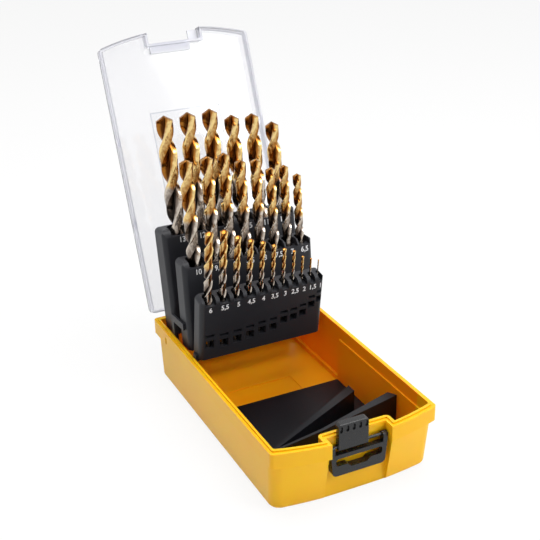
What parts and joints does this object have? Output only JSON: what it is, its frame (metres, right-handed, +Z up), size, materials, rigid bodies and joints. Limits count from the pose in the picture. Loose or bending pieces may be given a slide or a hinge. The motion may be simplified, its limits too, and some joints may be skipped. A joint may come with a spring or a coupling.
{
  "type": "drill bit case",
  "caption": "Hinged plastic case whose clear lid swings up racks of twist drills, with a turning latch and a drop handle.",
  "frame": {"origin": "middle of the tub's underside, on the ground plane", "axes": "+X to the right seen from the latch side, +Y from the latch towards the lid hinge, +Z up"},
  "size_m": [0.1184, 0.2949, 0.2382],
  "materials": {
    "tub_plastic": "warm yellow, fine moulded texture",
    "clear_plastic": "clear, slightly smoky",
    "rack_plastic": "dark charcoal with printed size numbers",
    "black_plastic": "black",
    "steel": "bright",
    "drill_steel": "gold coated front half, bright ground back half"
  },
  "bodies": {
    "tub": {"base_tub": "tub_plastic", "tip_stop_insert": "black_plastic", "latch_pin": "black_plastic", "hinge_pin_left": "steel", "hinge_pin_right": "steel", "rack_pin_back_left": "steel", "rack_pin_middle_left": "steel", "rack_pin_front_left": "steel", "rack_pin_back_right": "steel"},
    "lid": {"lid": "clear_plastic"},
    "latch": {"latch": "black_plastic"},
    "handle": {"handle": "black_plastic"},
    "rack_back": {"rack_back": "rack_plastic"},
    "rack_middle": {"rack_middle": "rack_plastic"},
    "rack_front": {"rack_front": "rack_plastic"},
    "drill_13_0": {"drill_13_0": "drill_steel"},
    "drill_12_5": {"drill_12_5": "drill_steel"},
    "drill_12_0": {"drill_12_0": "drill_steel"},
    "drill_11_5": {"drill_11_5": "drill_steel"},
    "drill_11_0": {"drill_11_0": "drill_steel"},
    "drill_10_5": {"drill_10_5": "drill_steel"},
    "drill_10_0": {"drill_10_0": "drill_steel"},
    "drill_9_5": {"drill_9_5": "drill_steel"},
    "drill_9_0": {"drill_9_0": "drill_steel"},
    "drill_8_5": {"drill_8_5": "drill_steel"},
    "drill_8_0": {"drill_8_0": "drill_steel"},
    "drill_7_5": {"drill_7_5": "drill_steel"},
    "drill_7_0": {"drill_7_0": "drill_steel"},
    "drill_6_5": {"drill_6_5": "drill_steel"},
    "drill_6_0": {"drill_6_0": "drill_steel"},
    "drill_5_5": {"drill_5_5": "drill_steel"},
    "drill_5_0": {"drill_5_0": "drill_steel"},
    "drill_4_5": {"drill_4_5": "drill_steel"},
    "drill_4_0": {"drill_4_0": "drill_steel"},
    "drill_3_5": {"drill_3_5": "drill_steel"},
    "drill_3_0": {"drill_3_0": "drill_steel"},
    "drill_2_5": {"drill_2_5": "drill_steel"},
    "drill_2_0": {"drill_2_0": "drill_steel"},
    "drill_1_5": {"drill_1_5": "drill_steel"},
    "drill_1_0": {"drill_1_0": "drill_steel"}
  },
  "joints": [
    {"name": "lid_hinge", "type": "hinge", "parent": "tub", "child": "lid", "pos_m": [0, 0.1006, 0.0466], "axis": [-1, 0, 0], "range_deg": [-113, 0]},
    {"name": "rack_back_swing", "type": "hinge", "parent": "tub", "child": "rack_back", "pos_m": [0, 0.07423, 0.03802], "axis": [-1, 0, 0], "range_deg": [-100, 0]},
    {"name": "rack_middle_swing", "type": "hinge", "parent": "tub", "child": "rack_middle", "pos_m": [0, 0.06396, 0.04068], "axis": [-1, 0, 0], "range_deg": [-95, 0]},
    {"name": "rack_front_swing", "type": "hinge", "parent": "tub", "child": "rack_front", "pos_m": [0, 0.05623, 0.0367], "axis": [-1, 0, 0], "range_deg": [-81.5, 0]},
    {"name": "latch_turn", "type": "hinge", "parent": "tub", "child": "latch", "pos_m": [0, -0.1002, 0.0374], "axis": [1, 0, 0], "range_deg": [0, 30]},
    {"name": "handle_swing", "type": "hinge", "parent": "tub", "child": "handle", "pos_m": [0, -0.1002, 0.0374], "axis": [-1, 0, 0], "range_deg": [0, 90]},
    {"name": "drill_13_0_lift", "type": "slide", "parent": "rack_back", "child": "drill_13_0", "axis": [0, 0.1736, 0.9848], "range_m": [0, 0.076]},
    {"name": "drill_12_5_lift", "type": "slide", "parent": "rack_back", "child": "drill_12_5", "axis": [0, 0.1736, 0.9848], "range_m": [0, 0.076]},
    {"name": "drill_12_0_lift", "type": "slide", "parent": "rack_back", "child": "drill_12_0", "axis": [0, 0.1736, 0.9848], "range_m": [0, 0.076]},
    {"name": "drill_11_5_lift", "type": "slide", "parent": "rack_back", "child": "drill_11_5", "axis": [0, 0.1736, 0.9848], "range_m": [0, 0.074]},
    {"name": "drill_11_0_lift", "type": "slide", "parent": "rack_back", "child": "drill_11_0", "axis": [0, 0.1736, 0.9848], "range_m": [0, 0.075]},
    {"name": "drill_10_5_lift", "type": "slide", "parent": "rack_back", "child": "drill_10_5", "axis": [0, 0.1736, 0.9848], "range_m": [0, 0.074]},
    {"name": "drill_10_0_lift", "type": "slide", "parent": "rack_middle", "child": "drill_10_0", "axis": [0, 0.0872, 0.9962], "range_m": [0, 0.068]},
    {"name": "drill_9_5_lift", "type": "slide", "parent": "rack_middle", "child": "drill_9_5", "axis": [0, 0.0872, 0.9962], "range_m": [0, 0.06]},
    {"name": "drill_9_0_lift", "type": "slide", "parent": "rack_middle", "child": "drill_9_0", "axis": [0, 0.0872, 0.9962], "range_m": [0, 0.059]},
    {"name": "drill_8_5_lift", "type": "slide", "parent": "rack_middle", "child": "drill_8_5", "axis": [0, 0.0872, 0.9962], "range_m": [0, 0.058]},
    {"name": "drill_8_0_lift", "type": "slide", "parent": "rack_middle", "child": "drill_8_0", "axis": [0, 0.0872, 0.9962], "range_m": [0, 0.06]},
    {"name": "drill_7_5_lift", "type": "slide", "parent": "rack_middle", "child": "drill_7_5", "axis": [0, 0.0872, 0.9962], "range_m": [0, 0.06]},
    {"name": "drill_7_0_lift", "type": "slide", "parent": "rack_middle", "child": "drill_7_0", "axis": [0, 0.0872, 0.9962], "range_m": [0, 0.06]},
    {"name": "drill_6_5_lift", "type": "slide", "parent": "rack_middle", "child": "drill_6_5", "axis": [0, 0.0872, 0.9962], "range_m": [0, 0.06]},
    {"name": "drill_6_0_lift", "type": "slide", "parent": "rack_front", "child": "drill_6_0", "axis": [0, -0.1478, 0.989], "range_m": [0, 0.047]},
    {"name": "drill_5_5_lift", "type": "slide", "parent": "rack_front", "child": "drill_5_5", "axis": [0, -0.1478, 0.989], "range_m": [0, 0.048]},
    {"name": "drill_5_0_lift", "type": "slide", "parent": "rack_front", "child": "drill_5_0", "axis": [0, -0.1478, 0.989], "range_m": [0, 0.048]},
    {"name": "drill_4_5_lift", "type": "slide", "parent": "rack_front", "child": "drill_4_5", "axis": [0, -0.1478, 0.989], "range_m": [0, 0.046]},
    {"name": "drill_4_0_lift", "type": "slide", "parent": "rack_front", "child": "drill_4_0", "axis": [0, -0.1478, 0.989], "range_m": [0, 0.045]},
    {"name": "drill_3_5_lift", "type": "slide", "parent": "rack_front", "child": "drill_3_5", "axis": [0, -0.1478, 0.989], "range_m": [0, 0.044]},
    {"name": "drill_3_0_lift", "type": "slide", "parent": "rack_front", "child": "drill_3_0", "axis": [0, -0.1478, 0.989], "range_m": [0, 0.04]},
    {"name": "drill_2_5_lift", "type": "slide", "parent": "rack_front", "child": "drill_2_5", "axis": [0, -0.1478, 0.989], "range_m": [0, 0.04]},
    {"name": "drill_2_0_lift", "type": "slide", "parent": "rack_front", "child": "drill_2_0", "axis": [0, -0.1478, 0.989], "range_m": [0, 0.038]},
    {"name": "drill_1_5_lift", "type": "slide", "parent": "rack_front", "child": "drill_1_5", "axis": [0, -0.1478, 0.989], "range_m": [0, 0.032]},
    {"name": "drill_1_0_lift", "type": "slide", "parent": "rack_front", "child": "drill_1_0", "axis": [0, -0.1478, 0.989], "range_m": [0, 0.029]}
  ],
  "couplings": [
    {"joint": "rack_back_swing", "follows": "lid_hinge", "ratio": 0.88496},
    {"joint": "rack_middle_swing", "follows": "lid_hinge", "ratio": 0.84071},
    {"joint": "rack_front_swing", "follows": "lid_hinge", "ratio": 0.72124}
  ]
}
